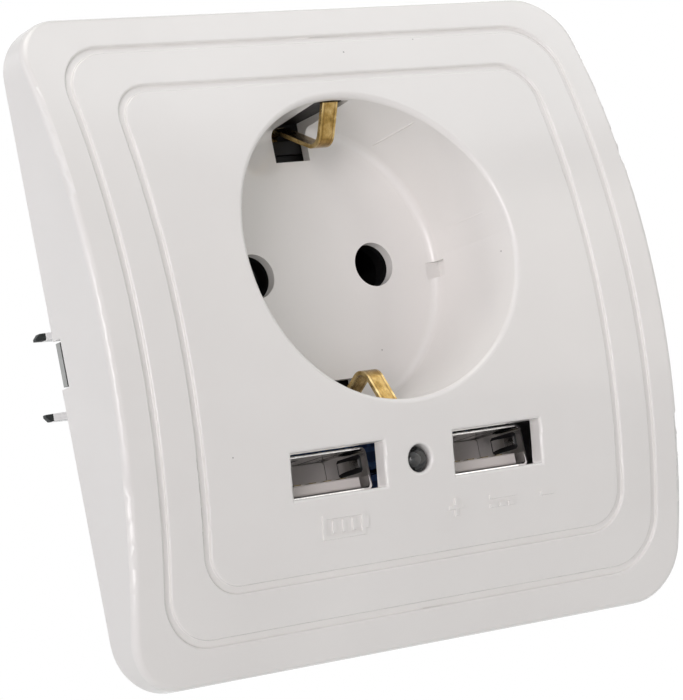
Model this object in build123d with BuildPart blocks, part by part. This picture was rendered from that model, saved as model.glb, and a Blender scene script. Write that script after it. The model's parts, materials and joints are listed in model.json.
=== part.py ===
from build123d import *
import os
from math import sqrt

# Wall socket with a round recessed well, two earth clips and two USB ports.
# X points right, Y into the wall and Z up. The wall is the plane Y = 0.
# All sizes are in millimetres.

# Cover plate
plate_width = 86.0
plate_height = 85.0
plate_corner = 7.0
plate_rise = 13.0
plate_edge = 3.0
plate_wall = 2.2
edge_round = 0.9
groove_margin = 4.85
panel_clearance = 2.65
groove_corners = (6.5, 4.8)
groove_width = 0.9
groove_depth = 0.45
groove_lip = 0.24
groove_foot = 0.18
mark_height = 0.25
mark_stroke = 0.5
mark_z = -26.2
battery_width = 6.4
battery_height = 3.0
sign_size = 2.2
sign_reach = 7.4
bar_width = 4.2
bar_step = 0.55
dash_pitch = 1.5
dash_width = 1.0
notch_width = 6.1
notch_depth = 1.9
notch_z = -0.6
peg_width = 4.0
peg_thickness = 1.8
peg_inset = 9.5
peg_reach = 2.6
peg_clearance = 0.2

# Socket well in the cover
well_z = 8.7
well_depth = 17.4
well_rim_radius = 20.5
well_floor_radius = 19.4
well_wall = 1.5
well_floor = 1.5
well_floor_round = 1.2
well_rim_round = 0.6
pin_spacing = 19.0
pin_hole_radius = 3.0
gate_mark = 2.2
gate_mark_depth = 0.2
gate_mark_inset = 0.4
gate_mark_drop = 1.65
earth_slot_width = 5.4
earth_slot_radius = 14.9

# Earth strap, measured outwards from the axis of the well
strip_width = 2.4
strip_thickness = 0.55
earth_apex_radius = 14.6
earth_apex_height = 7.8
earth_tip_radius = 20.1
earth_tip_height = 11.0
earth_leg_radius = 19.6
earth_bend = 2.0
strap_gap = 0.2

# USB ports and pilot lamp
usb_spacing = 24.87
usb_z = -19.35
usb_window_width = 14.0
usb_window_height = 5.7
usb_window_round = 0.4
usb_shell_width = 13.2
usb_shell_height = 5.6
usb_shell_corner = 0.8
usb_shell_wall = 0.3
usb_shell_recess = 3.4
usb_spring_width = 2.4
usb_spring_length = 6.0
usb_spring_gap = 0.4
usb_tongue_width = 11.1
usb_tongue_thickness = 1.4
usb_tongue_gap = 0.25
usb_tongue_recess = 0.9
usb_block_depth = 3.3
usb_pin_pitch = 2.3
usb_pin_width = 1.0
usb_pin_thickness = 0.15
usb_fit = 0.05
led_x = -0.05
led_hole_radius = 1.75
led_radius = 1.6
led_recess = 0.3
led_body = 5.6
led_dome = 0.9
led_flange = 0.35
led_lead = 0.5
led_lead_pitch = 1.6

# Steel mounting frame
frame_sheet = 1.05
frame_gap = 0.4
frame_clearance = 0.4
tab_play = 0.3
tab_inset = 0.3
box_screw_spacing = 60.3
box_slot_length = 5.0
box_slot_width = 3.5

# Base drum and rear cover
drum_radius = 29.0
drum_width = 49.2
drum_wall = 1.6
drum_front_wall = 1.8
drum_length = 23.0
floor_gap = 1.1
shield_radius = 30.0
shield_width = 14.0
shield_height = 5.0
shield_gap = 0.15
lining_play = 0.25
lining_radius = 20.3
lining_thickness = 0.55
lining_front_gap = 1.35
pillar_radius = 1.9
pillar_upper = (22.4, 15.2)
pillar_lower = (22.6, -13.6)
boss_radius = 2.2
boss_upper = (20.0, 16.5)
boss_lower = (0.0, -26.3)
rear_cover_thickness = 2.0
base_pin_radius = 3.2
leg_slot_play = 0.6

# Claws and their screws
claw_z = 1.8
claw_inner_gap = 9.9
claw_sheet = 0.95
claw_play = 0.25
claw_screw_x = 24.2
claw_lever = 4.5
claw_pivot_setback = 2.5
claw_trunnion_radius = 1.2
claw_hub_radius = 1.9
claw_arm_length = 18.5
claw_arm_width = 3.7
claw_arm_lean = 2.9
claw_tab_reach = 3.0
claw_reaches = (32.15, 31.5)
claw_tooth = 3.4
claw_tip = 0.8
claw_tip_bevel = 0.6
claw_screw_radius = 1.5
claw_screw_length = 19.0
claw_head_radius = 2.7
claw_head_height = 1.9
claw_slot_play = 0.3
running_fit = 0.05
pocket_gap = 0.4

# Mains contacts and terminals
contact_sheet = 0.8
contact_neck = 4.4
contact_mouth = 5.6
contact_width = 6.0
contact_length = 16.2
contact_setback = 7.0
terminal_z = 18.0
terminal_width = 6.8
clamp_size = 7.0
clamp_thickness = 1.2
terminal_screw_radius = 1.7
terminal_head_radius = 3.0
terminal_head_height = 2.2
terminal_screw_length = 6.5
terminal_window_height = 10.8

# Charger board
board_thickness = 1.6
board_width = 40.0
board_top = -12.9
board_bottom = -26.4
board_radius = 29.3
board_peg_radius = 1.0
board_peg = (18.6, -14.8)
board_window_width = 34.0
board_window_top = -13.8
board_window_bottom = -24.0
board_window_radius = 26.4
transformer_width = 13.0
transformer_height = 9.6
transformer_depth = 12.0
transformer_z = -18.9
bobbin_flange = 1.5
winding_inset = 1.4
capacitor_radius = 3.15
capacitor_length = 11.5
capacitor_round = 0.5
capacitor = (13.4, -17.3)
chip = (8.9, -21.5)
chip_width = 3.0
chip_height = 4.0
chip_depth = 1.6
lead_radius = 0.8
lead_x = 8.6
lead_z = -15.6
lead_bend = 6.0

# Small screws
small_screw_radius = 1.0
small_head_radius = 2.0
small_head_height = 1.3
small_screw_length = 6.0

# Screw heads: the cross recess and the rounding, as shares of a head's radius and height
cross_span = 1.2
cross_bar = 0.25
cross_depth = 0.5
head_round = 0.33

# Bow of the front, from its rise over the top and bottom edges
bow_rise = plate_rise - plate_edge
bow_radius = ((plate_height / 2) ** 2 + bow_rise**2) / (2 * bow_rise)

# Depths that several pieces share, measured into the wall
floor_depth = well_depth - plate_rise
floor_back = floor_depth + well_floor
drum_front = floor_back + floor_gap
chamber_front = drum_front + drum_front_wall
drum_back = drum_front + drum_length
board_front = drum_front - board_thickness
contact_back = chamber_front + contact_length
strap_depth = chamber_front + strap_gap + strip_thickness / 2
shell_front_depth = usb_shell_recess - plate_rise + bow_radius - sqrt(bow_radius**2 - usb_z**2)
pin_x = pin_spacing / 2
port_x = usb_spacing / 2
claw_pivot_x = claw_screw_x - claw_lever
claw_pivot_depth = drum_front + claw_pivot_setback
claw_half = claw_inner_gap / 2 + claw_sheet
pocket_x = claw_pivot_x - claw_hub_radius - pocket_gap
pocket_half = claw_half + claw_play
sides = (-1, 1)


def bow_height(z):
    """Height of the bowed front above the wall, at height z."""
    return plate_rise - bow_radius + sqrt(bow_radius**2 - z**2)


def at_depth(y):
    """Plane facing the room, at depth y into the wall."""
    return Plane.XZ.offset(-y)


def bowed_block(inset):
    """Rounded block on the wall with a bowed front, shrunk by inset all round."""
    half_height = plate_height / 2 - inset
    rise = plate_rise - inset
    radius = bow_radius - inset
    edge = rise - radius + sqrt(radius**2 - half_height**2)
    with BuildPart() as block:
        with BuildSketch(Plane.YZ):
            with BuildLine():
                ThreePointArc((-edge, -half_height), (-rise, 0), (-edge, half_height))
                Polyline((-edge, half_height), (0, half_height), (0, -half_height), (-edge, -half_height))
            make_face()
        extrude(amount=plate_width / 2 - inset, both=True)
        fillet(block.edges().filter_by(Axis.Y), plate_corner - inset)
    return block.part


def bow_body(raised):
    """Tall wide body under the bowed front, raised by a little all over."""
    reach = plate_height
    radius = bow_radius + raised
    with BuildPart() as body:
        with BuildSketch(Plane.YZ):
            with Locations((bow_radius - plate_rise, 0)):
                Circle(radius)
        extrude(amount=reach, both=True)
    return body.part


def off_bow(edge):
    """How far the middle of an edge lies below the bowed front."""
    middle = edge @ 0.5
    return bow_radius - sqrt((middle.Y + plate_rise - bow_radius) ** 2 + middle.Z**2)


def on_bow(edge):
    """Whether an edge lies on the bowed front."""
    return abs(off_bow(edge)) < groove_depth / 4


def in_groove(edge):
    """Whether an edge lies at the foot of a groove."""
    return abs(off_bow(edge) - groove_depth) < groove_depth / 4


def groove(margin, corner):
    """Shallow ring that follows the bow at a margin from the plate's edge."""
    half_band = groove_width / 2
    width = plate_width - 2 * margin
    height = plate_height - 2 * margin
    with BuildPart() as ring:
        with BuildSketch(at_depth(0)):
            RectangleRounded(width + groove_width, height + groove_width, corner + half_band)
            RectangleRounded(
                width - groove_width,
                height - groove_width,
                corner - half_band,
                mode=Mode.SUBTRACT,
            )
        extrude(amount=2 * plate_rise)
        add(bow_body(-groove_depth), mode=Mode.SUBTRACT)
    return ring.part


def raised_marks():
    """Plain battery sign at the left, plus, direct current and minus signs at the right."""
    left = -port_x
    right = port_x
    root = bow_height(mark_z) - plate_wall / 2
    inner_width = battery_width - 2 * mark_stroke
    inner_height = battery_height - 2 * mark_stroke
    with BuildPart() as marks:
        with BuildSketch(at_depth(-root)):
            with Locations((left, mark_z)):
                Rectangle(battery_width, battery_height)
                Rectangle(inner_width, inner_height, mode=Mode.SUBTRACT)
            with Locations((left + (battery_width + mark_stroke) / 2, mark_z)):
                Rectangle(mark_stroke, battery_height / 2)
            with GridLocations(dash_pitch, 0, 3, 1):
                with Locations((left, mark_z)):
                    Rectangle(mark_stroke, battery_height / 2)
            with Locations((right - sign_reach, mark_z)):
                Rectangle(sign_size, mark_stroke)
                Rectangle(mark_stroke, sign_size)
            with Locations((right + sign_reach, mark_z)):
                Rectangle(sign_size, mark_stroke)
            with Locations((right, mark_z + bar_step)):
                Rectangle(bar_width, mark_stroke)
            with GridLocations(dash_pitch, 0, 3, 1):
                with Locations((right, mark_z - bar_step)):
                    Rectangle(dash_width, mark_stroke)
        extrude(amount=plate_wall + mark_height)
        add(bow_body(mark_height), mode=Mode.INTERSECT)
    return marks.part


def well_bore():
    """Tapered round recess, open to the room, with a rounded floor corner."""
    taper = (well_rim_radius - well_floor_radius) / well_depth
    mouth = floor_depth - 2 * well_depth
    mouth_radius = well_floor_radius + 2 * taper * well_depth
    with BuildPart() as bore:
        with BuildSketch(Plane.XY.offset(well_z)) as section:
            with BuildLine():
                Polyline(
                    (0, floor_depth),
                    (well_floor_radius, floor_depth),
                    (mouth_radius, mouth),
                    (0, mouth),
                    close=True,
                )
            make_face()
            floor_corner = (well_floor_radius, floor_depth, well_z)
            fillet(section.vertices().sort_by_distance(floor_corner)[0], well_floor_round)
        revolve(axis=Axis((0, 0, well_z), (0, 1, 0)))
    return bore.part


def mirrored_points(*points):
    """The points on the right, each with its twin on the left."""
    return [(side * x, z) for x, z in points for side in sides if x or side > 0]


def screws(points, seat, tip, shank_radius, head_radius, head_height):
    """Pan screws with a cross recess, heads on the depth seat, tips at the depth tip."""
    outward = 1 if seat > tip else -1
    recess = cross_depth * head_height
    with BuildPart() as group:
        with BuildSketch(at_depth(seat)):
            with Locations(*points):
                Circle(head_radius)
        extrude(amount=-outward * head_height)
        rims = group.edges().filter_by(GeomType.CIRCLE).group_by(Axis.Y)
        fillet(rims[-1] if outward > 0 else rims[0], head_round * head_height)
        with BuildSketch(at_depth(seat)):
            with Locations(*points):
                Circle(shank_radius)
        extrude(amount=seat - tip)
        with BuildSketch(at_depth(seat + outward * head_height)):
            with Locations(*points):
                Rectangle(cross_span * head_radius, cross_bar * head_radius)
                Rectangle(cross_bar * head_radius, cross_span * head_radius)
        extrude(amount=outward * recess, mode=Mode.SUBTRACT)
    return group.part


def drum_outline(inset):
    """Round outline with flat sides and a pocket for each claw, shrunk by inset all round."""
    with BuildSketch(Plane.XY) as outline:
        Circle(drum_radius - inset)
        Rectangle(drum_width - 2 * inset, 2 * drum_radius, mode=Mode.INTERSECT)
        with GridLocations(2 * (pocket_x - inset + drum_radius / 2), 0, 2, 1):
            with Locations((0, claw_z)):
                Rectangle(drum_radius, 2 * (pocket_half + inset), mode=Mode.SUBTRACT)
    return outline.sketch


# Cover plate: one moulding with the well, the windows, the pegs and the pry notches
panel_margin = plate_height / 2 - well_z - well_rim_radius - panel_clearance
well_outer_radius = well_floor_radius + well_wall
earth_slot_front = floor_depth - earth_tip_height - strip_thickness
earth_slot_reach = well_outer_radius - earth_slot_radius
peg_x = plate_width / 2 - peg_inset
peg_z = plate_height / 2 - peg_inset - plate_wall
with BuildPart() as cavity:
    add(bowed_block(plate_wall))
    with BuildSketch(at_depth(0)):
        with Locations((0, well_z)):
            Circle(well_outer_radius)
    extrude(amount=plate_rise, mode=Mode.SUBTRACT)

with BuildPart() as cover_plate:
    add(bowed_block(0))
    bowed_face = cover_plate.faces().filter_by(GeomType.CYLINDER).sort_by(SortBy.AREA)[-1]
    fillet(bowed_face.edges(), edge_round)
    for margin, corner in zip((groove_margin, panel_margin), groove_corners):
        add(groove(margin, corner), mode=Mode.SUBTRACT)
        cut_edges = cover_plate.edges(Select.LAST)
        foot_edges = cut_edges.filter_by(in_groove)
        fillet(cut_edges.filter_by(on_bow), groove_lip)
        fillet(foot_edges, groove_foot)
    add(cavity.part, mode=Mode.SUBTRACT)
    with BuildSketch(at_depth(floor_back)):
        with Locations((0, well_z)):
            Circle(well_outer_radius)
    extrude(amount=floor_back + plate_wall)
    add(well_bore(), mode=Mode.SUBTRACT)
    fillet(cover_plate.edges(Select.LAST).filter_by(on_bow), well_rim_round)
    with BuildSketch(at_depth(0)):
        with GridLocations(usb_spacing, 0, 2, 1):
            with Locations((0, usb_z)):
                Rectangle(usb_window_width, usb_window_height)
        with Locations((led_x, usb_z)):
            Circle(led_hole_radius)
    extrude(amount=2 * plate_rise, mode=Mode.SUBTRACT)
    fillet(cover_plate.edges(Select.LAST).filter_by(on_bow), usb_window_round)
    with BuildSketch(at_depth(floor_back)):
        with GridLocations(pin_spacing, 0, 2, 1):
            with Locations((0, well_z)):
                Circle(pin_hole_radius)
    extrude(amount=2 * well_floor, mode=Mode.SUBTRACT)
    with BuildSketch(at_depth(floor_back)):
        for side in sides:
            with Locations((0, well_z + side * (earth_slot_radius + earth_slot_reach / 2))):
                Rectangle(earth_slot_width, earth_slot_reach)
    extrude(amount=floor_back - earth_slot_front, mode=Mode.SUBTRACT)
    with BuildSketch(at_depth(floor_depth + gate_mark_depth)):
        with Locations((well_floor_radius - gate_mark_inset, well_z - gate_mark_drop)):
            Rectangle(gate_mark, gate_mark)
    extrude(amount=gate_mark, mode=Mode.SUBTRACT)
    with BuildSketch(at_depth(0)):
        with GridLocations(plate_width - plate_wall, 0, 2, 1):
            with Locations((0, notch_z)):
                Rectangle(2 * plate_wall, notch_width)
    extrude(amount=notch_depth, mode=Mode.SUBTRACT)
    with BuildSketch(at_depth(peg_reach)):
        with GridLocations(2 * peg_x, 2 * peg_z, 2, 2):
            Rectangle(peg_width, peg_thickness)
    extrude(amount=peg_reach + bow_height(peg_z) - plate_wall / 2)
    add(raised_marks())

# Steel mounting frame, flat against the wall, with a tab in each pry notch
pillars = mirrored_points(pillar_upper, pillar_lower)
port_opening_width = usb_spacing + usb_shell_width + 2 * frame_clearance
port_opening_bottom = usb_z - usb_shell_height / 2 - frame_clearance
tab_span = plate_width - 2 * tab_inset
frame_margin = plate_wall + frame_gap
frame_corner = plate_corner - frame_margin
with BuildPart() as mounting_frame:
    with BuildSketch(at_depth(0)):
        RectangleRounded(plate_width - 2 * frame_margin, plate_height - 2 * frame_margin, frame_corner)
        with Locations((0, notch_z)):
            Rectangle(tab_span, notch_width - 2 * tab_play)
        with Locations((0, well_z)):
            Circle(well_outer_radius + frame_clearance, mode=Mode.SUBTRACT)
        with Locations((0, (port_opening_bottom + well_z) / 2)):
            Rectangle(port_opening_width, well_z - port_opening_bottom, mode=Mode.SUBTRACT)
        with GridLocations(2 * peg_x, 2 * peg_z, 2, 2):
            Rectangle(peg_width + 2 * peg_clearance, peg_thickness + 2 * peg_clearance, mode=Mode.SUBTRACT)
        with GridLocations(box_screw_spacing, 0, 2, 1):
            SlotOverall(box_slot_length, box_slot_width, mode=Mode.SUBTRACT)
        with GridLocations(2 * claw_screw_x, 0, 2, 1):
            with Locations((0, claw_z)):
                Circle(claw_screw_radius + running_fit, mode=Mode.SUBTRACT)
        with Locations(*pillars):
            Circle(small_screw_radius + running_fit, mode=Mode.SUBTRACT)
    extrude(amount=frame_sheet)

# Base drum behind the frame: pillars to the frame, pin holes, claw pockets, open at the back
bosses = mirrored_points(boss_upper, boss_lower)
leg_slot_width = strip_width + 2 * leg_slot_play
leg_slot_inner = earth_leg_radius - strip_thickness / 2 - 2 * leg_slot_play
leg_slot_outer = earth_leg_radius + strip_thickness / 2 + leg_slot_play
with BuildPart() as socket_base:
    with BuildSketch(at_depth(drum_back)):
        add(drum_outline(0))
    extrude(amount=drum_length)
    with BuildSketch(at_depth(drum_back)):
        add(drum_outline(drum_wall))
    extrude(amount=drum_back - chamber_front, mode=Mode.SUBTRACT)
    with BuildSketch(at_depth(drum_front)):
        with Locations(*pillars):
            Circle(pillar_radius)
    extrude(amount=drum_front)
    with BuildSketch(at_depth(drum_back)):
        with Locations(*bosses):
            Circle(boss_radius)
    extrude(amount=drum_back - drum_front)
    with BuildSketch(at_depth(drum_front)):
        with Locations(*mirrored_points(board_peg)):
            Circle(board_peg_radius)
    extrude(amount=board_thickness)
    with BuildSketch(at_depth(small_screw_length)):
        with Locations(*pillars):
            Circle(small_screw_radius + running_fit)
    extrude(amount=small_screw_length, mode=Mode.SUBTRACT)
    with BuildSketch(at_depth(drum_back)):
        with Locations(*bosses):
            Circle(small_screw_radius + running_fit)
    extrude(amount=small_screw_length, mode=Mode.SUBTRACT)
    with BuildSketch(at_depth(chamber_front)):
        with GridLocations(pin_spacing, 0, 2, 1):
            with Locations((0, well_z)):
                Circle(base_pin_radius)
    extrude(amount=drum_front_wall, mode=Mode.SUBTRACT)
    with BuildSketch(at_depth(chamber_front)):
        Circle(board_window_radius)
        with Locations((0, (board_window_top + board_window_bottom) / 2)):
            Rectangle(board_window_width, board_window_top - board_window_bottom, mode=Mode.INTERSECT)
    extrude(amount=drum_front_wall, mode=Mode.SUBTRACT)
    with BuildSketch(at_depth(strap_depth + strip_thickness / 2 + leg_slot_play)):
        for side in sides:
            with Locations((0, well_z + side * (leg_slot_inner + leg_slot_outer) / 2)):
                Rectangle(leg_slot_width, leg_slot_outer - leg_slot_inner)
    extrude(amount=drum_front_wall + strip_thickness + strap_gap + leg_slot_play, mode=Mode.SUBTRACT)
    with BuildSketch(Plane.XY.offset(claw_z - pocket_half - drum_wall)):
        with GridLocations(2 * claw_pivot_x, 0, 2, 1):
            with Locations((0, claw_pivot_depth)):
                Circle(claw_trunnion_radius + running_fit)
    extrude(amount=2 * (pocket_half + drum_wall), mode=Mode.SUBTRACT)

# Shield on the drum's front, with a tongue that lines the upper earth slot behind the clip
shield_slot_outer = earth_leg_radius + strip_thickness / 2 + shield_gap
lining_front = earth_slot_front + lining_front_gap
with BuildPart() as earth_shield:
    with BuildSketch(at_depth(drum_front)):
        Circle(shield_radius)
        with Locations((0, shield_radius)):
            Rectangle(shield_width, 2 * shield_height, mode=Mode.INTERSECT)
        with Locations((0, well_z + (leg_slot_inner + shield_slot_outer) / 2)):
            Rectangle(leg_slot_width, shield_slot_outer - leg_slot_inner, mode=Mode.SUBTRACT)
    extrude(amount=floor_gap - shield_gap)
    with BuildSketch(at_depth(drum_front)):
        with Locations((0, well_z + lining_radius + lining_thickness / 2)):
            Rectangle(earth_slot_width - 2 * lining_play, lining_thickness)
    extrude(amount=drum_front - lining_front)

# Rear cover with a window over each terminal
with BuildPart() as rear_cover:
    with BuildSketch(at_depth(drum_back + rear_cover_thickness)):
        add(drum_outline(0))
        with GridLocations(pin_x, 0, 3, 1):
            with Locations((0, terminal_z + terminal_head_radius / 3)):
                Rectangle(terminal_width, terminal_window_height, mode=Mode.SUBTRACT)
        with Locations(*bosses):
            Circle(small_screw_radius + running_fit, mode=Mode.SUBTRACT)
    extrude(amount=rear_cover_thickness)

# Earth strap: one bent strip with a sprung clip at the top and bottom of the well
clip = [
    (floor_depth - earth_tip_height, earth_tip_radius),
    (floor_depth - earth_apex_height, earth_apex_radius),
    (floor_back, earth_leg_radius),
    (strap_depth, earth_leg_radius),
]
clip_bends = [earth_bend, strip_thickness, strip_thickness]
with BuildPart() as earth_strap:
    with BuildSketch(Plane.YZ):
        with BuildLine():
            FilletPolyline(
                [(y, well_z + r) for y, r in clip] + [(y, well_z - r) for y, r in reversed(clip)],
                radius=clip_bends + clip_bends[::-1],
            )
        trace(line_width=strip_thickness)
    extrude(amount=strip_width / 2, both=True)

# Earth terminal: a bracket from the strap to the row of terminals
bracket_foot = strap_depth + (strip_thickness + contact_sheet) / 2
bracket_top = terminal_z + clamp_size + contact_sheet
with BuildPart() as earth_terminal:
    with BuildSketch(Plane.YZ):
        with BuildLine():
            FilletPolyline(
                (bracket_foot, bracket_top - clamp_size / 2),
                (bracket_foot, bracket_top),
                (contact_back - contact_sheet / 2, bracket_top),
                (contact_back - contact_sheet / 2, terminal_z - clamp_size / 2),
                radius=contact_sheet,
            )
        trace(line_width=contact_sheet)
    extrude(amount=terminal_width / 2, both=True)
    with BuildSketch(at_depth(contact_back)):
        with Locations((0, terminal_z)):
            Circle(terminal_screw_radius + running_fit)
    extrude(amount=contact_sheet, mode=Mode.SUBTRACT)


def mains_contact(x):
    """Sprung fork that grips a plug pin at x, with a flat terminal above it."""
    half_mouth = (contact_mouth + contact_sheet) / 2
    half_neck = (contact_neck + contact_sheet) / 2
    mouth = chamber_front + contact_setback
    back = contact_back - contact_sheet / 2
    neck = mouth + (back - mouth) / 3
    tab_top = terminal_z + clamp_size / 2
    with BuildPart() as contact:
        with BuildSketch(Plane.XY.offset(well_z - contact_width / 2)):
            with BuildLine():
                FilletPolyline(
                    (x - half_mouth, mouth),
                    (x - half_neck, neck),
                    (x - half_mouth, back),
                    (x + half_mouth, back),
                    (x + half_neck, neck),
                    (x + half_mouth, mouth),
                    radius=contact_sheet,
                )
            trace(line_width=contact_sheet)
        extrude(amount=contact_width)
        with BuildSketch(at_depth(contact_back)):
            with Locations((x, (well_z + tab_top) / 2)):
                Rectangle(terminal_width, tab_top - well_z)
            with Locations((x, terminal_z)):
                Circle(terminal_screw_radius + running_fit, mode=Mode.SUBTRACT)
        extrude(amount=contact_sheet)
    return contact.part


def terminal_clamp(x):
    """Square pressure plate under the terminal screw at x."""
    with BuildPart() as clamp:
        with BuildSketch(at_depth(contact_back + clamp_thickness)):
            with Locations((x, terminal_z)):
                Rectangle(clamp_size, clamp_size)
                Circle(terminal_screw_radius + running_fit, mode=Mode.SUBTRACT)
        extrude(amount=clamp_thickness)
    return clamp.part


def terminal_screw(x):
    """Screw that closes the clamp at x, driven from behind."""
    seat = contact_back + clamp_thickness
    tip = seat - terminal_screw_length
    place = [(x, terminal_z)]
    return screws(place, seat, tip, terminal_screw_radius, terminal_head_radius, terminal_head_height)


def usb_shell(x):
    """Folded steel shell of the USB port at x, with sprung fingers above and below."""
    finger_depth = shell_front_depth + usb_spring_length
    with BuildPart() as shell:
        with BuildSketch(at_depth(board_front)):
            with Locations((x, usb_z)):
                RectangleRounded(usb_shell_width, usb_shell_height, usb_shell_corner)
                RectangleRounded(
                    usb_shell_width - 2 * usb_shell_wall,
                    usb_shell_height - 2 * usb_shell_wall,
                    usb_shell_corner - usb_shell_wall,
                    mode=Mode.SUBTRACT,
                )
        extrude(amount=board_front - shell_front_depth)
        with BuildSketch(Plane.XY.offset(usb_z - usb_shell_height)):
            with Locations((x, finger_depth)):
                with GridLocations(usb_shell_width / 2, 0, 2, 1):
                    Rectangle(usb_spring_width + 2 * usb_spring_gap, usb_spring_length)
                    Rectangle(usb_spring_width, usb_spring_length, mode=Mode.SUBTRACT)
            with Locations((x, finger_depth - (usb_spring_length - usb_spring_gap) / 2)):
                with GridLocations(usb_shell_width / 2, 0, 2, 1):
                    Rectangle(usb_spring_width, usb_spring_gap)
        extrude(amount=2 * usb_shell_height, mode=Mode.SUBTRACT)
    return shell.part


tongue_front = shell_front_depth + usb_tongue_recess
tongue_bottom = usb_z - usb_shell_height / 2 + usb_shell_wall + usb_tongue_gap
tongue_top = tongue_bottom + usb_tongue_thickness


def usb_tongue(x):
    """Plastic insert of the USB port at x: a block at the back and a tongue in the lower half."""
    inset = 2 * (usb_shell_wall + usb_fit)
    with BuildPart() as tongue:
        with BuildSketch(at_depth(board_front)):
            with Locations((x, usb_z)):
                RectangleRounded(
                    usb_shell_width - inset,
                    usb_shell_height - inset,
                    usb_shell_corner - usb_shell_wall,
                )
        extrude(amount=usb_block_depth)
        with BuildSketch(at_depth(board_front)):
            with Locations((x, (tongue_bottom + tongue_top) / 2)):
                Rectangle(usb_tongue_width, usb_tongue_thickness)
        extrude(amount=board_front - tongue_front)
        fillet(tongue.edges().group_by(Axis.Y)[0], usb_tongue_thickness / 5)
    return tongue.part


def usb_pins(x):
    """Four contact strips on the tongue of the USB port at x."""
    back = board_front - usb_block_depth
    front = tongue_front + usb_tongue_thickness / 2
    with BuildPart() as pins:
        with BuildSketch(Plane.XY.offset(tongue_top)):
            with Locations((x, (front + back) / 2)):
                with GridLocations(usb_pin_pitch, 0, 4, 1):
                    Rectangle(usb_pin_width, back - front)
        extrude(amount=usb_pin_thickness)
    return pins.part


# Pilot lamp: a domed lamp on two leads
lamp_front = led_recess - bow_height(usb_z)
lamp_back = lamp_front + led_body
with BuildPart() as pilot_lamp:
    with BuildSketch(at_depth(lamp_back)):
        with Locations((led_x, usb_z)):
            Circle(led_radius)
    extrude(amount=led_body)
    fillet(pilot_lamp.edges().filter_by(GeomType.CIRCLE).group_by(Axis.Y)[0], led_dome)
    with BuildSketch(at_depth(lamp_back)):
        with Locations((led_x, usb_z)):
            Circle(led_radius + led_flange)
    extrude(amount=2 * led_flange)
    with BuildSketch(at_depth(board_front)):
        with Locations((led_x, usb_z)):
            with GridLocations(led_lead_pitch, 0, 2, 1):
                Rectangle(led_lead, led_lead)
    extrude(amount=board_front - lamp_back)

# Charger board, lying on the drum's front
with BuildPart() as usb_board:
    with BuildSketch(at_depth(drum_front)):
        Circle(board_radius)
        with Locations((0, (board_top + board_bottom) / 2)):
            Rectangle(board_width, board_top - board_bottom, mode=Mode.INTERSECT)
        with Locations(*mirrored_points(board_peg)):
            Circle(board_peg_radius + running_fit, mode=Mode.SUBTRACT)
    extrude(amount=board_thickness)

# Transformer: a bobbin between two flanges, wrapped by its core
with BuildPart() as transformer:
    with BuildSketch(at_depth(drum_front)):
        with Locations((0, transformer_z)):
            Rectangle(transformer_width, transformer_height)
    extrude(amount=-bobbin_flange)
    with BuildSketch(at_depth(drum_front)):
        with Locations((0, transformer_z)):
            RectangleRounded(
                transformer_width - 2 * winding_inset,
                transformer_height - 2 * winding_inset,
                winding_inset,
            )
    extrude(amount=-transformer_depth)
    with BuildSketch(at_depth(drum_front + transformer_depth)):
        with Locations((0, transformer_z)):
            Rectangle(transformer_width, transformer_height)
    extrude(amount=bobbin_flange)
    with BuildSketch(at_depth(drum_front)):
        with GridLocations(transformer_width - winding_inset, 0, 2, 1):
            with Locations((0, transformer_z)):
                Rectangle(winding_inset, transformer_height / 2)
    extrude(amount=-transformer_depth)


def board_capacitor(side):
    """Round capacitor standing on the back of the board."""
    with BuildPart() as can:
        with BuildSketch(at_depth(drum_front)):
            with Locations((side * capacitor[0], capacitor[1])):
                Circle(capacitor_radius)
        extrude(amount=-capacitor_length)
        fillet(can.edges().filter_by(GeomType.CIRCLE), capacitor_round)
    return can.part


def board_chip(side):
    """Flat chip on the back of the board."""
    with BuildPart() as block:
        with BuildSketch(at_depth(drum_front)):
            with Locations((side * chip[0], chip[1])):
                Rectangle(chip_width, chip_height)
        extrude(amount=-chip_depth)
    return block.part


def supply_lead(side):
    """Insulated lead from a mains contact to the board."""
    x = side * lead_x
    back = contact_back + lead_radius
    with BuildPart() as lead:
        with BuildLine() as route:
            FilletPolyline((x, back, well_z), (x, back, lead_z), (x, drum_front, lead_z), radius=lead_bend)
        with BuildSketch(Plane(origin=route.line @ 0, z_dir=route.line % 0)):
            Circle(lead_radius)
        sweep()
    return lead.part


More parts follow.
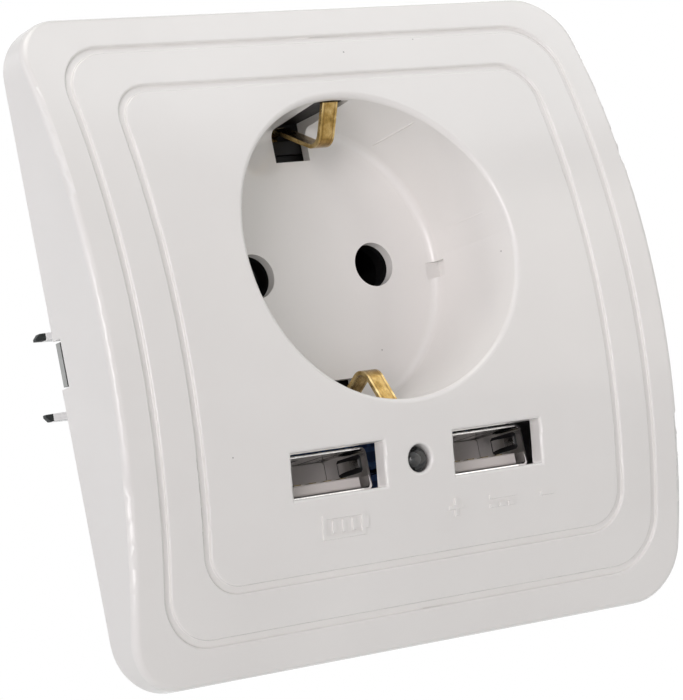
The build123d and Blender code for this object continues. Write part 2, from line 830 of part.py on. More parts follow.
def claw():
    """Spreading claw of the right side: two toothed arms, a tab for the screw and two trunnions."""
    tab_end = claw_screw_x + claw_tab_reach
    arm_back = claw_pivot_depth + claw_arm_length
    arm_outer = claw_pivot_x + claw_arm_width
    tooth_root = arm_outer + claw_arm_width / 2
    tip_depth = arm_back - claw_tooth / 2
    with BuildPart() as bracket:
        for low, reach in zip((claw_z - claw_half, claw_z + claw_half - claw_sheet), claw_reaches):
            with BuildSketch(Plane.XY.offset(low)):
                with BuildLine():
                    Polyline(
                        (claw_pivot_x, claw_pivot_depth - claw_hub_radius),
                        (tab_end, claw_pivot_depth - claw_hub_radius),
                        (tab_end, claw_pivot_depth + claw_hub_radius),
                        (arm_outer, claw_pivot_depth + claw_hub_radius),
                        (tooth_root, arm_back - claw_tooth),
                        (reach, tip_depth - claw_tip / 2),
                        (reach, tip_depth + claw_tip / 2),
                        (tooth_root, arm_back),
                        (claw_pivot_x + claw_arm_lean, arm_back),
                        (claw_pivot_x, claw_pivot_depth + claw_hub_radius),
                        close=True,
                    )
                make_face()
                with Locations((claw_pivot_x, claw_pivot_depth)):
                    Circle(claw_hub_radius)
            extrude(amount=claw_sheet)
        tips = bracket.edges().filter_by(Axis.Y).sort_by(Axis.X)[-4:].sort_by(Axis.Z)
        chamfer([tips[0], tips[-1]], claw_tip_bevel)
        with BuildSketch(at_depth(claw_pivot_depth + claw_sheet / 2)):
            with Locations(((claw_pivot_x + tab_end) / 2, claw_z)):
                Rectangle(tab_end - claw_pivot_x, claw_inner_gap + claw_sheet)
            with Locations((claw_screw_x, claw_z)):
                SlotOverall(
                    2 * (claw_screw_radius + 2 * claw_slot_play),
                    2 * (claw_screw_radius + claw_slot_play),
                    mode=Mode.SUBTRACT,
                )
        extrude(amount=claw_sheet)
        for side in sides:
            with BuildSketch(Plane.XY.offset(claw_z + side * (claw_half - claw_sheet))):
                with Locations((claw_pivot_x, claw_pivot_depth)):
                    Circle(claw_trunnion_radius)
            extrude(amount=side * (claw_sheet + claw_play + drum_wall - running_fit))
    return bracket.part


right_claw = claw()
with BuildPart() as left_claw:
    mirror(right_claw, about=Plane.YZ)


def claw_screw(side):
    """Screw that pulls the claw's tab forward, driven from the room."""
    seat = -frame_sheet - running_fit
    tip = seat + claw_screw_length
    place = [(side * claw_screw_x, claw_z)]
    return screws(place, seat, tip, claw_screw_radius, claw_head_radius, claw_head_height)


rear_seat = drum_back + rear_cover_thickness
pieces = {
    "cover_plate": cover_plate.part,
    "mounting_frame": mounting_frame.part,
    "socket_base": socket_base.part,
    "earth_shield": earth_shield.part,
    "rear_cover": rear_cover.part,
    "earth_strap": earth_strap.part,
    "earth_terminal": earth_terminal.part,
    "line_contact": mains_contact(-pin_x),
    "neutral_contact": mains_contact(pin_x),
    "pilot_lamp": pilot_lamp.part,
    "usb_board": usb_board.part,
    "transformer": transformer.part,
    "input_capacitor": board_capacitor(-1),
    "output_capacitor": board_capacitor(1),
    "bridge_rectifier": board_chip(-1),
    "control_chip": board_chip(1),
    "line_lead": supply_lead(-1),
    "neutral_lead": supply_lead(1),
    "claw_left": left_claw.part,
    "claw_right": right_claw,
    "claw_screw_left": claw_screw(-1),
    "claw_screw_right": claw_screw(1),
    "frame_screws": screws(
        pillars,
        -frame_sheet,
        small_screw_length - frame_sheet,
        small_screw_radius,
        small_head_radius,
        small_head_height,
    ),
    "rear_cover_screws": screws(
        bosses,
        rear_seat,
        rear_seat - small_screw_length,
        small_screw_radius,
        small_head_radius,
        small_head_height,
    ),
}
for pole, x in (("line", -pin_x), ("earth", 0.0), ("neutral", pin_x)):
    pieces[pole + "_clamp"] = terminal_clamp(x)
    pieces[pole + "_terminal_screw"] = terminal_screw(x)
for port, x in (("left", -port_x), ("right", port_x)):
    pieces["usb_shell_" + port] = usb_shell(x)
    pieces["usb_tongue_" + port] = usb_tongue(x)
    pieces["usb_pins_" + port] = usb_pins(x)

os.makedirs("parts", exist_ok=True)
for name, piece in pieces.items():
    piece.label = name
    export_step(piece, "parts/" + name + ".step")
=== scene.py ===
"""Looks of the wall socket: finishes, small details, studio light and the camera."""

import json
import math

import bmesh
import bpy
from mathutils import Matrix, Vector


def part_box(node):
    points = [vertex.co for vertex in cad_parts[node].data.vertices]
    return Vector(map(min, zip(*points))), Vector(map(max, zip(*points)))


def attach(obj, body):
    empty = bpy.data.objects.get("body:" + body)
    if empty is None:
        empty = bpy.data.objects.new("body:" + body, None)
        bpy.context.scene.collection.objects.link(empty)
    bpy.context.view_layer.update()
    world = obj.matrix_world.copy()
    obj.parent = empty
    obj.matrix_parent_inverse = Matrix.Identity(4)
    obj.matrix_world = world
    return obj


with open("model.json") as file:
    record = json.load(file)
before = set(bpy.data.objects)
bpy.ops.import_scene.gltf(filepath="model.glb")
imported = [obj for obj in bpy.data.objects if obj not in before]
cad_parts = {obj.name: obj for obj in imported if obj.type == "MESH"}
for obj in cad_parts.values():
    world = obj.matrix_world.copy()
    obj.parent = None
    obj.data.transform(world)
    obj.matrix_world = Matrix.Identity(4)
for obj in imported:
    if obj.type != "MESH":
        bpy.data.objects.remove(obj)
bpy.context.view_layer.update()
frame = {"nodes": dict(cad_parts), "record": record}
mm = 0.001

# Camera, as the photograph was taken
camera_place = Vector((-214.4, -317.4, -46.4)) * mm
camera_aim = Vector((-1.306, 0.0, -2.905)) * mm
camera_roll = math.radians(11.33)
camera_sensor = 36.0
camera_near = 0.01
focal_pixels = 2943.3
frame_pixels = 700.0

# Spread of the colour ramps over their noise
ramp_start = 0.3
ramp_end = 0.7
mottle_start = 0.35
mottle_end = 0.65

# Moulded plastics
plastic_mottle = 22 * mm
plastic_gloss_patch = 6 * mm
speck_shade = 0.45

# Drawn metals
metal_line = 0.4 * mm
tarnish_shade = 0.55
tarnish_full = 0.25
tarnish_gone = 0.42

# Brass strip of the earth clips, with a painted highlight along its edges and a darker line just inside
# them
strip_half = 1.2 * mm
edge_light_patch = 1.2 * mm
edge_light_wander = 0.12 * mm

# Painted shade on the tips of the claws: the bent tips are coloured dark; the lower teeth turn dark a
# little further out
dark_tip_start = 29.9 * mm
dark_tip_step = 0.95 * mm
dark_tip_wander = 0.5 * mm
dark_tip_rough = 0.6

# Insulating walls between the terminal bays
bay_wall_x = 5.0 * mm
bay_wall_half = 0.4 * mm
bay_wall_nose = 0.6
bay_wall_length = 7.9 * mm
bay_wall_low = 11.0 * mm
bay_wall_high = 20.0 * mm

# Mould lines on the wall of the well: angle in degrees, near end, far end, width and height
well_z = 8.7 * mm
well_floor_depth = 4.4 * mm
well_floor_radius = 19.4 * mm
well_taper = 1.1 / 17.4
mould_lines = (
    (54.0, 2.4 * mm, -8.2 * mm, 0.42 * mm, 0.24 * mm),
    (9.5, 1.9 * mm, -9.3 * mm, 0.6 * mm, 0.05 * mm),
)
mould_line_steps = 12
mould_line_root = 0.2
mould_line_fade = 0.5

# Pilot lamp and its lead frame; the cup's profile is in shares of its radius and depth
lamp_body = 5.6 * mm
lamp_index = 1.46
lamp_specular = 0.3
cup_radius = 0.75 * mm
cup_depth = 0.95 * mm
cup_setback = 1.3 * mm
cup_profile = ((0.25, 0.6), (0.8, 0.05), (1.0, 0.0), (1.0, 0.7), (0.7, 1.0), (0.0, 1.0))
cup_least_share = 0.02
cup_steps = 32
post_half = 0.26 * mm
post_pitch = 1.3 * mm
post_nose = 0.7
post_starts = {-1: 0.6, 1: 0.1}
post_corners = ((-1, -1), (1, -1), (1, 1), (-1, 1))

# Side springs in the USB ports, each over a thin dark sheet of painted shade
shell_wall = 0.3 * mm
spring_setback = 1.5 * mm
spring_length = 4.8 * mm
spring_rise = 0.55 * mm
spring_half = 0.75 * mm
spring_nose = 0.7
spring_growth = 0.3
spring_sheet = 0.18 * mm
spring_lift = 0.85 * mm
spring_steps = 14
shade_margin = 0.4 * mm
shade_sheet = 0.05 * mm
shade_end_share = 0.75

# Studio; each lamp has its place, size, power and tint
white = (1, 1, 1, 1)
sky_tint = (0.96, 0.98, 1.0, 1)
ambient = 0.12
floor_drop = 120 * mm
floor_size = 1.6
floor_glow = 0.65
floor_patch = 40 * mm
floor_rough = 0.7
lamps = {
    "top_lamp": ((0.0, -0.15, 0.9), 0.5, 2.55, (1.0, 0.99, 0.94)),
    "top_right_lamp": ((0.55, -0.35, 0.65), 0.5, 1.05, (0.93, 0.97, 1.0)),
    "fill_lamp": ((0.65, -0.6, 0.1), 0.5, 0.7, (1.0, 0.94, 0.86)),
    "key_lamp": ((-1.97, -1.82, 0.17), 1.5, 40.5, (1.0, 0.94, 0.955)),
    "left_lamp": ((-2.5, -0.75, 0.45), 1.5, 3.5, (1.0, 1.0, 1.0)),
    "left_high_lamp": ((-2.2, -0.3, 1.5), 1.5, 8.0, (0.9, 0.95, 1.0)),
    "left_back_lamp": ((-0.3, 0.9, 0.3), 0.5, 0.4, (1.0, 1.0, 1.0)),
    "right_back_lamp": ((0.7, 0.55, 0.3), 0.5, 1.4, (1.0, 1.0, 1.0)),
}


def node(tree, kind, inputs=(), **settings):
    """A new shader node with its settings and constant inputs."""
    made = tree.nodes.new(kind)
    for name, value in settings.items():
        setattr(made, name, value)
    for name, value in dict(inputs).items():
        made.inputs[name].default_value = value
    return made


def material(name):
    """A new node material: the material, its tree and its main shader."""
    made = bpy.data.materials.new(name)
    made.use_nodes = True
    tree = made.node_tree
    return made, tree, tree.nodes["Principled BSDF"]


def place(tree):
    """Coordinates in metres in the object's own frame."""
    return node(tree, "ShaderNodeTexCoord").outputs["Object"]


def axis_place(tree, axis):
    """One coordinate in metres in the object's own frame."""
    split = node(tree, "ShaderNodeSeparateXYZ")
    tree.links.new(place(tree), split.inputs["Vector"])
    return split.outputs[axis]


def noise(tree, size, detail=3.0, stretch=(1, 1, 1)):
    """Soft noise with features of a given size in metres."""
    mapping = node(tree, "ShaderNodeMapping")
    mapping.inputs["Scale"].default_value = stretch
    texture = node(tree, "ShaderNodeTexNoise", {"Scale": 1 / size, "Detail": detail})
    tree.links.new(place(tree), mapping.inputs["Vector"])
    tree.links.new(mapping.outputs["Vector"], texture.inputs["Vector"])
    return texture.outputs["Fac"]


def grains(tree, size):
    """Cells of a given size: the distance to each cell's middle and a random level for each cell."""
    texture = node(tree, "ShaderNodeTexVoronoi", {"Scale": 1 / size})
    tree.links.new(place(tree), texture.inputs["Vector"])
    channels = node(tree, "ShaderNodeSeparateColor")
    tree.links.new(texture.outputs["Color"], channels.inputs["Color"])
    return texture.outputs["Distance"], channels.outputs["Red"]


def ramp(tree, factor, stops):
    """Colour ramp over a factor; stops are pairs of place and colour or grey level."""
    made = node(tree, "ShaderNodeValToRGB")
    elements = made.color_ramp.elements
    while len(elements) < len(stops):
        elements.new(0.5)
    for element, (where, colour) in zip(elements, stops):
        element.position = where
        element.color = (*colour, 1) if isinstance(colour, tuple) else (colour, colour, colour, 1)
    tree.links.new(factor, made.inputs["Fac"])
    return made.outputs["Color"]


def between(tree, factor, low, high, start=ramp_start, end=ramp_end):
    """Colour or grey level that goes from low to high over the middle of a factor."""
    return ramp(tree, factor, [(start, low), (end, high)])


def bump(tree, shader, height, depth):
    """Fine relief of a given depth in metres."""
    made = node(tree, "ShaderNodeBump", {"Strength": 1.0, "Distance": depth})
    tree.links.new(height, made.inputs["Height"])
    tree.links.new(made.outputs["Normal"], shader.inputs["Normal"])


def maths(tree, operation, first, second):
    """One arithmetic step on two sockets or numbers."""
    made = node(tree, "ShaderNodeMath", operation=operation)
    for index, value in enumerate((first, second)):
        if isinstance(value, (int, float)):
            made.inputs[index].default_value = value
        else:
            tree.links.new(value, made.inputs[index])
    return made.outputs["Value"]


def mixed(tree, factor, first, second, blend="MIX"):
    """Blend of two colours by a factor."""
    made = node(tree, "ShaderNodeMix", data_type="RGBA", blend_type=blend)
    if isinstance(factor, float):
        made.inputs["Factor"].default_value = factor
    else:
        tree.links.new(factor, made.inputs["Factor"])
    for name, value in (("A", first), ("B", second)):
        socket = [s for s in made.inputs if s.name == name and s.type == "RGBA"][0]
        if isinstance(value, tuple):
            socket.default_value = (*value, 1)
        else:
            tree.links.new(value, socket)
    return [s for s in made.outputs if s.type == "RGBA"][0]


def specks(tree, cell, radius, share):
    """Mask of sparse round specks, one in some of the cells of a given size."""
    distance, level = grains(tree, cell)
    near = maths(tree, "LESS_THAN", distance, radius / cell)
    chosen = maths(tree, "LESS_THAN", level, share)
    return maths(tree, "MULTIPLY", near, chosen)


def moulded_plastic(name, low, high, rough, grain, depth, speck=None, specular=0.5):
    """Moulded plastic: faint mottling, uneven gloss and a fine moulded surface."""
    made, tree, shader = material(name)
    shader.inputs["Specular IOR Level"].default_value = specular
    colour = between(tree, noise(tree, plastic_mottle, 2), low, high, mottle_start, mottle_end)
    if speck:
        colour = mixed(tree, specks(tree, *speck), colour, tuple(speck_shade * c for c in low))
    tree.links.new(colour, shader.inputs["Base Color"])
    gloss = between(tree, noise(tree, plastic_gloss_patch, 3), *rough)
    tree.links.new(gloss, shader.inputs["Roughness"])
    bump(tree, shader, noise(tree, grain, 2), depth)
    return made


def metal(name, low, high, rough, brushed, depth, patch, edge_light_ramp=None):
    """Drawn metal: mottled colour with darker tarnish, uneven gloss and fine drawn lines.

    An optional ramp of shades runs from the middle of a strip to its edges; on the brass it paints a
    highlight along the edges, with a darker line just inside them.
    """
    made, tree, shader = material(name)
    shader.inputs["Metallic"].default_value = 1.0
    tarnish = tuple(tarnish_shade * c for c in low)
    stops = [(tarnish_full, tarnish), (tarnish_gone, low), (ramp_end, high)]
    colour = ramp(tree, noise(tree, patch, 4), stops)
    # painted highlight along the strip's edges and a darker line inside them, multiplied into the colour
    if edge_light_ramp:
        across = maths(tree, "ABSOLUTE", axis_place(tree, "X"), 0)
        wander = maths(tree, "MULTIPLY", noise(tree, edge_light_patch, 2), edge_light_wander)
        share = maths(tree, "DIVIDE", maths(tree, "ADD", across, wander), strip_half)
        colour = mixed(tree, 1.0, colour, ramp(tree, share, edge_light_ramp), "MULTIPLY")
    tree.links.new(colour, shader.inputs["Base Color"])
    lines = noise(tree, metal_line, 3, brushed)
    tree.links.new(between(tree, lines, *rough), shader.inputs["Roughness"])
    bump(tree, shader, lines, depth)
    return made


def zinc_steel():
    """Zinc-plated sheet: grains of different grey, fine scratches and a soft gloss."""
    made, tree, shader = material("frame_steel")
    shader.inputs["Metallic"].default_value = 1.0
    level = grains(tree, 3.5 * mm)[1]
    spangle = ramp(tree, level, [(0.0, (0.30, 0.305, 0.30)), (1.0, (0.37, 0.375, 0.37))])
    stains = between(tree, noise(tree, 9 * mm, 4), 0.8, 1.0, end=0.6)
    tree.links.new(mixed(tree, 1.0, spangle, stains, "MULTIPLY"), shader.inputs["Base Color"])
    scratches = noise(tree, 0.35 * mm, 3, (1, 1, 9))
    tree.links.new(between(tree, scratches, 0.3, 0.5), shader.inputs["Roughness"])
    bump(tree, shader, scratches, 0.008 * mm)
    return made


def claw_steel():
    """Steel with a bright zinc coat, whose teeth are dark at the tips: painted shade of the bent tips."""
    made, tree, shader = material("claw_steel")
    across = maths(tree, "ABSOLUTE", axis_place(tree, "X"), 0)
    wander = maths(tree, "MULTIPLY", noise(tree, 0.8 * mm, 3), dark_tip_wander)
    lower = maths(tree, "LESS_THAN", axis_place(tree, "Z"), 0)
    start = maths(tree, "MULTIPLY_ADD", lower, dark_tip_step)
    tree.links.new(maths(tree, "ADD", wander, dark_tip_start), start.node.inputs[2])
    dark = maths(tree, "GREATER_THAN", across, start)
    bright = between(tree, noise(tree, 2 * mm, 3), (0.93, 0.935, 0.935), (0.97, 0.97, 0.965))
    # painted shade: near-black mottled colour on the tips of the teeth
    tip_shade_mottle = noise(tree, 0.5 * mm, 3)
    painted_tip_shade = between(tree, tip_shade_mottle, (0.010, 0.013, 0.013), (0.032, 0.038, 0.037), mottle_start, mottle_end)
    tree.links.new(mixed(tree, dark, bright, painted_tip_shade), shader.inputs["Base Color"])
    gloss = between(tree, noise(tree, 1 * mm, 3), 0.24, 0.36)
    dull = (dark_tip_rough, dark_tip_rough, dark_tip_rough)
    tree.links.new(mixed(tree, dark, gloss, dull), shader.inputs["Roughness"])
    bump(tree, shader, noise(tree, 0.3 * mm, 3), 0.004 * mm)
    return made


def clear_lamp(leads_from):
    """Cast resin tinted near black, painted shade for the dark inside seen through the clear lamp; the
    leads behind it are tinned wire.
    """
    made, tree, shader = material("lamp_clear")
    shader.inputs["IOR"].default_value = lamp_index
    shader.inputs["Specular IOR Level"].default_value = lamp_specular
    wire = maths(tree, "GREATER_THAN", axis_place(tree, "Y"), leads_from)
    tree.links.new(wire, shader.inputs["Metallic"])
    tree.links.new(maths(tree, "SUBTRACT", 1.0, wire), shader.inputs["Transmission Weight"])
    # near-black tint: painted shade of the lamp's dark inside, coloured into the resin
    tint = between(tree, noise(tree, 1.5 * mm, 2), (0.05, 0.052, 0.054), (0.09, 0.093, 0.096))
    tree.links.new(tint, shader.inputs["Base Color"])
    gloss = between(tree, noise(tree, 0.5 * mm, 2), 0.02, 0.06)
    tree.links.new(gloss, shader.inputs["Roughness"])
    bump(tree, shader, noise(tree, 0.9 * mm, 2), 0.006 * mm)
    return made


def board_laminate():
    """Solder-masked board: blue over a pattern of copper runs, with tinned pads."""
    made, tree, shader = material("board_laminate")
    pattern = {"Scale": 1 / (9 * mm), "Mortar Size": 0.035, "Brick Width": 0.4, "Row Height": 0.22}
    runs = node(tree, "ShaderNodeTexBrick", pattern)
    turn = node(tree, "ShaderNodeMapping")
    turn.inputs["Rotation"].default_value = (math.radians(90), 0, 0)
    tree.links.new(place(tree), turn.inputs["Vector"])
    tree.links.new(turn.outputs["Vector"], runs.inputs["Vector"])
    mask = between(tree, noise(tree, 7 * mm, 2), (0.008, 0.03, 0.10), (0.014, 0.045, 0.15))
    colour = mixed(tree, runs.outputs["Fac"], mask, (0.03, 0.085, 0.25))
    pads = specks(tree, 2.6 * mm, 0.45 * mm, 0.16)
    tree.links.new(mixed(tree, pads, colour, (0.62, 0.61, 0.58)), shader.inputs["Base Color"])
    tree.links.new(pads, shader.inputs["Metallic"])
    gloss = between(tree, noise(tree, 3 * mm, 3), 0.22, 0.38)
    tree.links.new(gloss, shader.inputs["Roughness"])
    bump(tree, shader, runs.outputs["Fac"], 0.03 * mm)
    return made


def wire_insulation():
    """Soft insulation: brown on the line side, blue on the neutral side."""
    made, tree, shader = material("wire_insulation")
    right = maths(tree, "GREATER_THAN", axis_place(tree, "X"), 0)
    brown = between(tree, noise(tree, 2 * mm, 3), (0.10, 0.04, 0.02), (0.14, 0.06, 0.03))
    blue = between(tree, noise(tree, 2 * mm, 3), (0.03, 0.08, 0.24), (0.045, 0.11, 0.31))
    tree.links.new(mixed(tree, right, brown, blue), shader.inputs["Base Color"])
    gloss = between(tree, noise(tree, 1.5 * mm, 2), 0.36, 0.48)
    tree.links.new(gloss, shader.inputs["Roughness"])
    bump(tree, shader, noise(tree, 0.6 * mm, 2), 0.015 * mm)
    return made


lamp_low, lamp_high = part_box("pilot_lamp")
lamp_leads_from = lamp_low[1] + lamp_body
finishes = {
    "cover_plastic": moulded_plastic(
        "cover_plastic",
        low=(0.845, 0.831, 0.813),
        high=(0.870, 0.857, 0.839),
        rough=(0.15, 0.21),
        grain=0.9 * mm,
        depth=0.004 * mm,
        speck=(4 * mm, 0.12 * mm, 0.05),
    ),
    "base_plastic": moulded_plastic(
        "base_plastic",
        low=(0.006, 0.006, 0.0065),
        high=(0.011, 0.011, 0.0115),
        rough=(0.42, 0.56),
        grain=0.25 * mm,
        depth=0.012 * mm,
        specular=0.3,
    ),
    "port_plastic": moulded_plastic(
        "port_plastic",
        low=(0.66, 0.62, 0.60),
        high=(0.74, 0.70, 0.68),
        rough=(0.3, 0.42),
        grain=0.3 * mm,
        depth=0.01 * mm,
    ),
    "ferrite": moulded_plastic(
        "ferrite",
        low=(0.03, 0.028, 0.026),
        high=(0.06, 0.055, 0.05),
        rough=(0.5, 0.65),
        grain=0.3 * mm,
        depth=0.03 * mm,
    ),
    "capacitor_sleeve": moulded_plastic(
        "capacitor_sleeve",
        low=(0.012, 0.014, 0.03),
        high=(0.02, 0.024, 0.05),
        rough=(0.2, 0.35),
        grain=1.2 * mm,
        depth=0.03 * mm,
    ),
    "chip_epoxy": moulded_plastic(
        "chip_epoxy",
        low=(0.012, 0.012, 0.013),
        high=(0.02, 0.02, 0.022),
        rough=(0.45, 0.6),
        grain=0.2 * mm,
        depth=0.02 * mm,
    ),
    "brass": metal(
        "brass",
        low=(0.42, 0.275, 0.09),
        high=(0.74, 0.55, 0.26),
        rough=(0.15, 0.32),
        brushed=(7, 1, 1),
        depth=0.02 * mm,
        patch=1.3 * mm,
        # shades across the strip: a darker middle, a dark line near each edge and a painted highlight at
        # the edges
        edge_light_ramp=[
            (0.0, (0.78, 0.75, 0.68)),
            (0.58, (0.72, 0.68, 0.60)),
            (0.74, (0.46, 0.40, 0.32)),
            (0.86, (0.94, 0.96, 1.0)),
        ],
    ),
    "screw_steel": metal(
        "screw_steel",
        low=(0.55, 0.55, 0.54),
        high=(0.68, 0.68, 0.67),
        rough=(0.28, 0.42),
        brushed=(4, 1, 4),
        depth=0.01 * mm,
        patch=2 * mm,
    ),
    "port_steel": metal(
        "port_steel",
        low=(0.64, 0.635, 0.63),
        high=(0.76, 0.755, 0.75),
        rough=(0.06, 0.14),
        brushed=(1, 6, 1),
        depth=0.004 * mm,
        patch=4 * mm,
    ),
    "gilt_contact": metal(
        "gilt_contact",
        low=(0.20, 0.16, 0.09),
        high=(0.30, 0.24, 0.14),
        rough=(0.38, 0.52),
        brushed=(1, 6, 1),
        depth=0.005 * mm,
        patch=2 * mm,
    ),
    "frame_steel": zinc_steel(),
    "claw_steel": claw_steel(),
    "lamp_clear": clear_lamp(lamp_leads_from),
    "board_laminate": board_laminate(),
    "wire_insulation": wire_insulation(),
}
for part in frame["record"]["subparts"]:
    shown = frame["nodes"][part["node"]]
    for slot in shown.material_slots:
        slot.material = finishes[part["material_slot"]]


def piece(name, mesh, finish, body):
    """New piece of the object from mesh data, with its finish, on its body."""
    made = bpy.data.objects.new(name, mesh)
    bpy.context.collection.objects.link(made)
    made.data.materials.append(finishes[finish])
    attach(made, body)
    return made


def skin(build, loops):
    """Faces between loops of corners, with a cap at each end."""
    for first, second in zip(loops, loops[1:]):
        for step in range(len(first)):
            after = (step + 1) % len(first)
            build.faces.new((first[step], first[after], second[after], second[step]))
    build.faces.new(loops[0])
    build.faces.new(loops[-1])


def closed_mesh(name, build):
    """Mesh data from a finished build, with its faces outwards."""
    bmesh.ops.recalc_face_normals(build, faces=build.faces)
    mesh = bpy.data.meshes.new(name)
    build.to_mesh(mesh)
    build.free()
    return mesh


def bar(name, rows, finish):
    """Closed bar through rows of corners, riding on the base."""
    build = bmesh.new()
    skin(build, [[build.verts.new(corner) for corner in row] for row in rows])
    return piece(name, closed_mesh(name, build), finish, "base")


def section(near, far, deep, low, high):
    """Corners of an upright rectangle between two places along X, at one depth."""
    return [(near, deep, low), (far, deep, low), (far, deep, high), (near, deep, high)]


def mould_line(name, degrees, near, far, width, proud):
    """Thin ridge down the wall of the well, left by the parting of the mould."""
    angle = math.radians(degrees)
    points = []
    faces = []
    for step in range(mould_line_steps + 1):
        depth = near + (far - near) * step / mould_line_steps
        radius = well_floor_radius + well_taper * (well_floor_depth - depth)
        fade = math.sin(math.pi * step / mould_line_steps) ** mould_line_fade
        half = width / 2 / radius
        root = -mould_line_root * proud
        for turn, rise in ((-half, root), (0, proud * fade), (half, root)):
            reach = radius - rise
            points.append((reach * math.cos(angle + turn), depth, well_z + reach * math.sin(angle + turn)))
        if step:
            row = 3 * step
            for side in (0, 1):
                faces.append((row + side - 3, row + side - 2, row + side + 1, row + side))
    mesh = bpy.data.meshes.new(name)
    mesh.from_pydata(points, [], faces)
    return piece(name, mesh, "cover_plastic", "cover")


def lamp_frame():
    """Reflector cup and two posts inside the clear lamp."""
    centre_x = (lamp_low[0] + lamp_high[0]) / 2
    centre_z = (lamp_low[2] + lamp_high[2]) / 2
    front = lamp_low[1] + cup_setback
    back = lamp_leads_from
    build = bmesh.new()
    rings = []
    for share, deep in cup_profile:
        ring = []
        for step in range(cup_steps):
            angle = 2 * math.pi * step / cup_steps
            reach = max(share, cup_least_share) * cup_radius
            ring.append(build.verts.new((
                centre_x + reach * math.cos(angle),
                front + deep * cup_depth,
                centre_z + reach * math.sin(angle),
            )))
        rings.append(ring)
    skin(build, rings)
    for side, start in post_starts.items():
        middle = centre_x + side * post_pitch / 2
        top = front + cup_depth * start
        loops = []
        for deep, grow in ((top, post_nose), (top + post_half, 1.0), (back, 1.0)):
            loops.append([
                build.verts.new((middle + grow * post_half * a, deep, centre_z + grow * post_half * b))
                for a, b in post_corners
            ])
        skin(build, loops)
    return piece("lamp_frame", closed_mesh("lamp_frame", build), "screw_steel", "base")


def port_springs(side):
    """Bowed springs on both side walls of one USB port, each over a thin dark sheet of painted shade."""
    low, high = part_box(f"usb_shell_{side}")
    middle = (low[2] + high[2]) / 2 + spring_lift
    front = low[1] + spring_setback
    shade_ends = (
        (-shade_margin, shade_end_share),
        (0, 1.0),
        (spring_length, 1.0),
        (spring_length + shade_margin, shade_end_share),
    )
    for wall, inward, hand in ((low[0] + shell_wall, 1, "a"), (high[0] - shell_wall, -1, "b")):
        rows = []
        for step in range(spring_steps + 1):
            share = step / spring_steps
            near = wall + inward * (shade_sheet + spring_rise * math.sin(math.pi * share))
            far = near + inward * spring_sheet
            half = spring_half * (spring_nose + spring_growth * share)
            rows.append(section(near, far, front + spring_length * share, middle - half, middle + half))
        bar(f"port_spring_{side}_{hand}", rows, "port_steel")
        # thin black sheet of painted shade behind the spring, in the base's black finish
        rows = []
        for along, reach in shade_ends:
            far = wall + inward * shade_sheet
            half = reach * (spring_half + shade_margin)
            rows.append(section(wall, far, front + along, middle - half, middle + half))
        bar(f"port_slot_shade_{side}_{hand}", rows, "base_plastic")


def bay_wall(name, middle):
    """Thin insulating wall between two terminal bays, against the rear cover's inner face."""
    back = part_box("rear_cover")[0][1]
    front = back - bay_wall_length
    rows = []
    for deep, reach in ((front, bay_wall_nose), (front + bay_wall_half, 1.0), (back, 1.0)):
        half = reach * bay_wall_half
        rows.append(section(middle - half, middle + half, deep, bay_wall_low, bay_wall_high))
    bar(name, rows, "base_plastic")


def backdrop():
    """White for the camera and for reflections, and a faint sky light for all else."""
    world = bpy.data.worlds.new("studio")
    bpy.context.scene.world = world
    world.use_nodes = True
    tree = world.node_tree
    tree.nodes.clear()
    path = node(tree, "ShaderNodeLightPath")
    seen = maths(tree, "MAXIMUM", path.outputs["Is Camera Ray"], path.outputs["Is Glossy Ray"])
    seen = maths(tree, "MAXIMUM", seen, path.outputs["Is Transmission Ray"])
    soft = node(tree, "ShaderNodeBackground", {"Color": sky_tint, "Strength": ambient})
    plain = node(tree, "ShaderNodeBackground", {"Color": white, "Strength": 1.0})
    either = node(tree, "ShaderNodeMixShader")
    tree.links.new(seen, either.inputs["Fac"])
    tree.links.new(soft.outputs["Background"], either.inputs[1])
    tree.links.new(plain.outputs["Background"], either.inputs[2])
    output = node(tree, "ShaderNodeOutputWorld")
    tree.links.new(either.outputs["Shader"], output.inputs["Surface"])


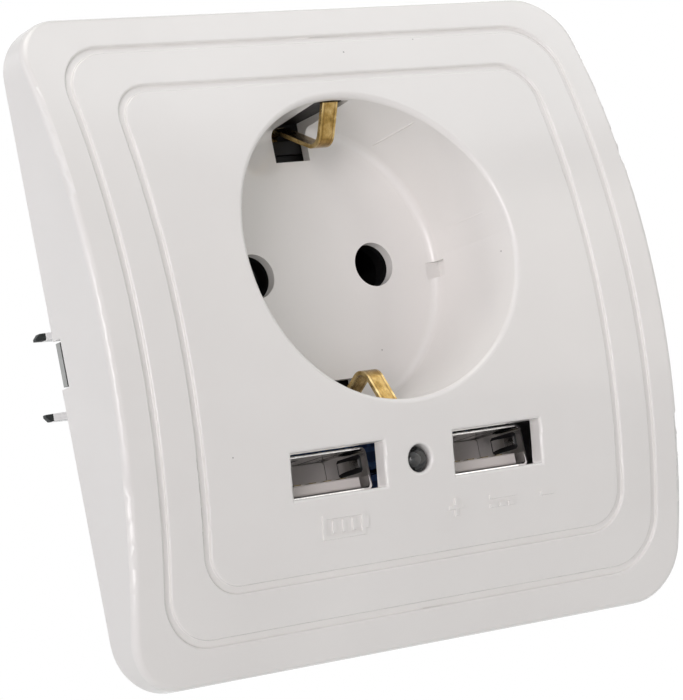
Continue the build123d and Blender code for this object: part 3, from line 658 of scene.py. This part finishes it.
def floor_paint():
    """Pale paint that takes shadows, shows light to the camera and is white in reflections."""
    made, tree, shader = material("floor_paint")
    shade = between(tree, noise(tree, floor_patch, 2), 0.88, 0.9)
    tree.links.new(shade, shader.inputs["Base Color"])
    shader.inputs["Roughness"].default_value = floor_rough
    path = node(tree, "ShaderNodeLightPath")
    mirrored = maths(tree, "MAXIMUM", path.outputs["Is Glossy Ray"], path.outputs["Is Transmission Ray"])
    shown = maths(tree, "MULTIPLY", path.outputs["Is Camera Ray"], floor_glow)
    glow = node(tree, "ShaderNodeEmission", {"Color": white, "Strength": 1.0})
    choice = node(tree, "ShaderNodeMixShader")
    tree.links.new(maths(tree, "MAXIMUM", mirrored, shown), choice.inputs["Fac"])
    tree.links.new(shader.outputs["BSDF"], choice.inputs[1])
    tree.links.new(glow.outputs["Emission"], choice.inputs[2])
    tree.links.new(choice.outputs["Shader"], tree.nodes["Material Output"].inputs["Surface"])
    return made


def lamp(name, where, size, power, tint):
    """Square soft lamp that faces the object."""
    data = bpy.data.lights.new(name, "AREA")
    data.shape = "SQUARE"
    data.size = size
    data.energy = power
    data.color = tint
    made = bpy.data.objects.new(name, data)
    bpy.context.collection.objects.link(made)
    made.location = where
    made.rotation_euler = (-where).to_track_quat("-Z", "Y").to_euler()


def studio():
    """White room with a pale floor and soft lamps."""
    backdrop()
    bpy.ops.mesh.primitive_plane_add(size=floor_size, location=(0, 0, -floor_drop))
    floor = bpy.context.object
    floor.name = "floor"
    floor.data.materials.append(floor_paint())
    for name, (where, size, power, tint) in lamps.items():
        lamp(name, Vector(where), size, power, tint)


def camera():
    """Camera at the photograph's place, angle and roll."""
    data = bpy.data.cameras.new("camera")
    data.sensor_width = camera_sensor
    data.lens = focal_pixels * camera_sensor / frame_pixels
    data.clip_start = camera_near
    made = bpy.data.objects.new("camera", data)
    bpy.context.collection.objects.link(made)
    turn = (camera_aim - camera_place).to_track_quat("-Z", "Y").to_matrix().to_4x4()
    made.matrix_world = Matrix.Translation(camera_place) @ turn @ Matrix.Rotation(-camera_roll, 4, "Z")
    bpy.context.scene.camera = made


for number, line in enumerate(mould_lines, 1):
    mould_line(f"mould_line_{number}", *line)
lamp_frame()
for side in ("left", "right"):
    port_springs(side)
bay_wall("bay_wall_left", -bay_wall_x)
bay_wall("bay_wall_right", bay_wall_x)
studio()
camera()
bpy.context.scene.view_settings.view_transform = "Standard"
